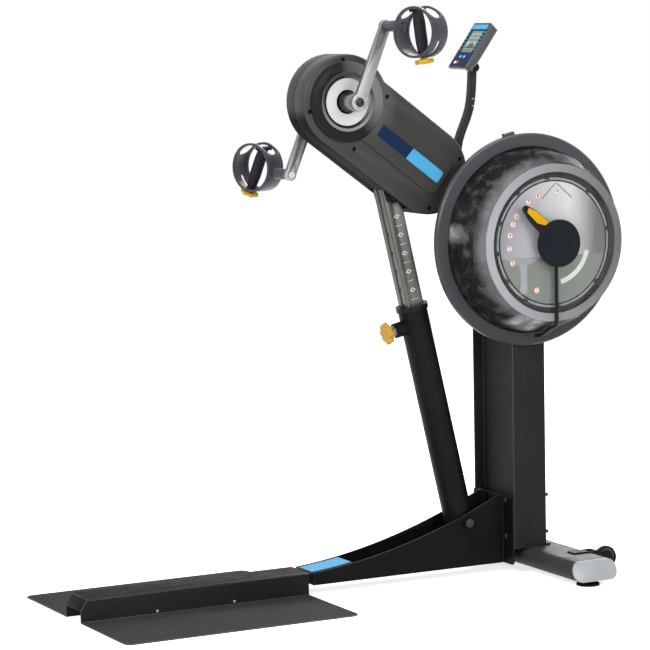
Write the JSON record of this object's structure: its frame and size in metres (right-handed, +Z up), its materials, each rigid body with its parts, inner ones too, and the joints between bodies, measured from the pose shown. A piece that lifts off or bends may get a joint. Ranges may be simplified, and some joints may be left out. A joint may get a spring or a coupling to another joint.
{
  "type": "arm ergometer",
  "caption": "Standing arm crank machine: tread platform, column with a clear water tank brake, tilting belt arm, cranks with cage handles, telescopic mast, small console.",
  "frame": {"origin": "on the floor, at the centre of the machine's footprint box", "axes": "+X from the platform, where the user stands, to the column; +Z up; -Y is the side of the water tank"},
  "size_m": [1.55, 0.7286, 1.5137],
  "materials": {
    "tread_black": "black stippled anti-slip coating",
    "black_steel": "black fine-textured powder coat",
    "cap_silver": "silver-grey moulded plastic",
    "rubber": "matt black rubber",
    "black_plastic": "black satin plastic",
    "ring_grey": "dark grey satin plastic",
    "clear": "clear polycarbonate, slightly smoked",
    "frosted": "frosted translucent plastic",
    "white": "white satin plastic",
    "dial_black": "black satin plastic with a yellow inlay",
    "silver": "satin bright metal",
    "shell_grey": "charcoal fine-grain moulded plastic",
    "navy": "dark blue printed film",
    "screen_green": "grey-green liquid crystal panel",
    "button_blue": "soft light blue key",
    "button_white": "soft white key",
    "button_red": "soft red key",
    "cage_grey": "dark grey satin moulded plastic",
    "grip_black": "soft black grip",
    "yellow": "warm yellow moulded plastic"
  },
  "bodies": {
    "base": {"platform_near": "tread_black", "platform_far": "tread_black", "platform_cover": "tread_black", "base_channel": "black_steel", "column": "black_steel", "stabilizer": "black_steel", "stabilizer_cap_near": "cap_silver", "stabilizer_cap_far": "cap_silver", "foot_near": "rubber", "foot_far": "rubber", "wheel_bracket_near": "black_steel", "wheel_bracket_far": "black_steel", "tank_back": "black_plastic", "tank_clamp_ring": "ring_grey", "tank_bowl": "clear", "tank_face": "clear", "tank_seal": "frosted", "tank_reservoir": "clear", "dial_plate": "white", "dial_boss": "cap_silver", "drain_pipe": "black_plastic", "mast_foot_bolt": "silver"},
    "wheel_near": {"transport_wheel_near": "rubber"},
    "wheel_far": {"transport_wheel_far": "rubber"},
    "arm": {"arm_frame": "black_steel", "housing_near": "shell_grey", "housing_far": "shell_grey", "hub_trim_near": "white", "hub_trim_far": "white", "drive_belt": "rubber", "mast_head_bolt": "black_steel", "console_stem": "black_steel"},
    "crankset": {"crank_axle": "silver", "drive_pulley": "black_plastic", "crank_near": "silver", "crank_far": "silver", "spindle_near": "silver", "spindle_far": "silver"},
    "rotor": {"rotor_shaft": "silver", "impeller": "frosted"},
    "handle_near": {"cage_near": "cage_grey"},
    "handle_far": {"cage_far": "cage_grey"},
    "grip_bar_near": {"grip_near": "grip_black"},
    "grip_bar_far": {"grip_far": "grip_black"},
    "knob_near": {"clamp_knob_near": "yellow"},
    "knob_far": {"clamp_knob_far": "yellow"},
    "level_dial": {"level_lever": "dial_black"},
    "post": {"mast_post": "silver", "post_cap": "black_plastic"},
    "tube": {"mast_tube": "black_steel", "mast_collar": "black_plastic", "pin_nose": "silver"},
    "pin": {"pull_pin": "yellow"},
    "console": {"console_body": "black_plastic", "console_face": "navy", "console_screen": "screen_green"},
    "key_up": {"button_up": "button_blue"},
    "key_down": {"button_down": "button_blue"},
    "key_start": {"button_start": "button_white"},
    "key_reset": {"button_reset": "button_red"}
  },
  "joints": [
    {"name": "arm_tilt", "type": "hinge", "parent": "base", "child": "arm", "pos_m": [0.495, 0, 0.8955], "axis": [0, -1, 0], "range_deg": [0, 32.5]},
    {"name": "mast_head", "type": "hinge", "parent": "arm", "child": "post", "pos_m": [0.13858, 0, 1.02501], "axis": [0, -1, 0], "range_deg": [-28, 0]},
    {"name": "mast_slide", "type": "slide", "parent": "post", "child": "tube", "axis": [-0.2217, 0, 0.9751], "range_m": [0, 0.2]},
    {"name": "pin_pull", "type": "slide", "parent": "tube", "child": "pin", "axis": [-0.9751, 0, -0.2217], "range_m": [0, 0.01], "stiffness_N_per_m": 1500, "springref_m": -0.004},
    {"name": "crank_turn", "type": "hinge", "parent": "arm", "child": "crankset", "pos_m": [-0.00349, 0, 1.2725], "axis": [0, 1, 0], "continuous": true},
    {"name": "brake_turn", "type": "hinge", "parent": "base", "child": "rotor", "pos_m": [0.495, 0, 0.8955], "axis": [0, 1, 0], "continuous": true},
    {"name": "handle_turn_near", "type": "hinge", "parent": "crankset", "child": "handle_near", "pos_m": [0.07573, 0, 1.46375], "axis": [0, 1, 0], "continuous": true},
    {"name": "handle_turn_far", "type": "hinge", "parent": "crankset", "child": "handle_far", "pos_m": [-0.08271, 0, 1.08126], "axis": [0, 1, 0], "continuous": true},
    {"name": "grip_tilt_near", "type": "hinge", "parent": "handle_near", "child": "grip_bar_near", "pos_m": [0.09973, -0.264, 1.44875], "axis": [-0.9272, -0.3746, 0], "range_deg": [-8.7, 51.3]},
    {"name": "grip_tilt_far", "type": "hinge", "parent": "handle_far", "child": "grip_bar_far", "pos_m": [-0.1067, 0.264, 1.09626], "axis": [0.9272, 0.3746, 0], "range_deg": [-24.8, 35.2]},
    {"name": "knob_turn_near", "type": "hinge", "parent": "grip_bar_near", "child": "knob_near", "pos_m": [0.09973, -0.264, 1.44875], "axis": [0.0567, -0.1402, -0.9885], "range_deg": [0, 180]},
    {"name": "knob_turn_far", "type": "hinge", "parent": "grip_bar_far", "child": "knob_far", "pos_m": [-0.1067, 0.264, 1.09626], "axis": [-0.1571, 0.3889, -0.9078], "range_deg": [0, 180]},
    {"name": "level_turn", "type": "hinge", "parent": "base", "child": "level_dial", "pos_m": [0.495, 0, 0.8955], "axis": [0, -1, 0], "range_deg": [-53, 109.5]},
    {"name": "console_tilt", "type": "hinge", "parent": "arm", "child": "console", "pos_m": [0.40002, 0, 1.34848], "axis": [0, 1, 0], "range_deg": [-25, 25]},
    {"name": "press_up", "type": "slide", "parent": "console", "child": "key_up", "axis": [0.809, 0, -0.5878], "range_m": [0, 0.0012], "stiffness_N_per_m": 1200},
    {"name": "press_down", "type": "slide", "parent": "console", "child": "key_down", "axis": [0.809, 0, -0.5878], "range_m": [0, 0.0012], "stiffness_N_per_m": 1200},
    {"name": "press_start", "type": "slide", "parent": "console", "child": "key_start", "axis": [0.809, 0, -0.5878], "range_m": [0, 0.0012], "stiffness_N_per_m": 1200},
    {"name": "press_reset", "type": "slide", "parent": "console", "child": "key_reset", "axis": [0.809, 0, -0.5878], "range_m": [0, 0.0012], "stiffness_N_per_m": 1200},
    {"name": "wheel_turn_near", "type": "hinge", "parent": "base", "child": "wheel_near", "pos_m": [0.648, -0.24, 0.05], "axis": [0, 1, 0], "continuous": true},
    {"name": "wheel_turn_far", "type": "hinge", "parent": "base", "child": "wheel_far", "pos_m": [0.648, 0.24, 0.05], "axis": [0, 1, 0], "continuous": true}
  ],
  "couplings": [
    {"joint": "mast_head", "follows": "arm_tilt", "ratio": -0.832},
    {"joint": "mast_slide", "follows": "arm_tilt", "m_per_rad": 0.3495},
    {"joint": "brake_turn", "follows": "crank_turn", "ratio": 4.5}
  ]
}
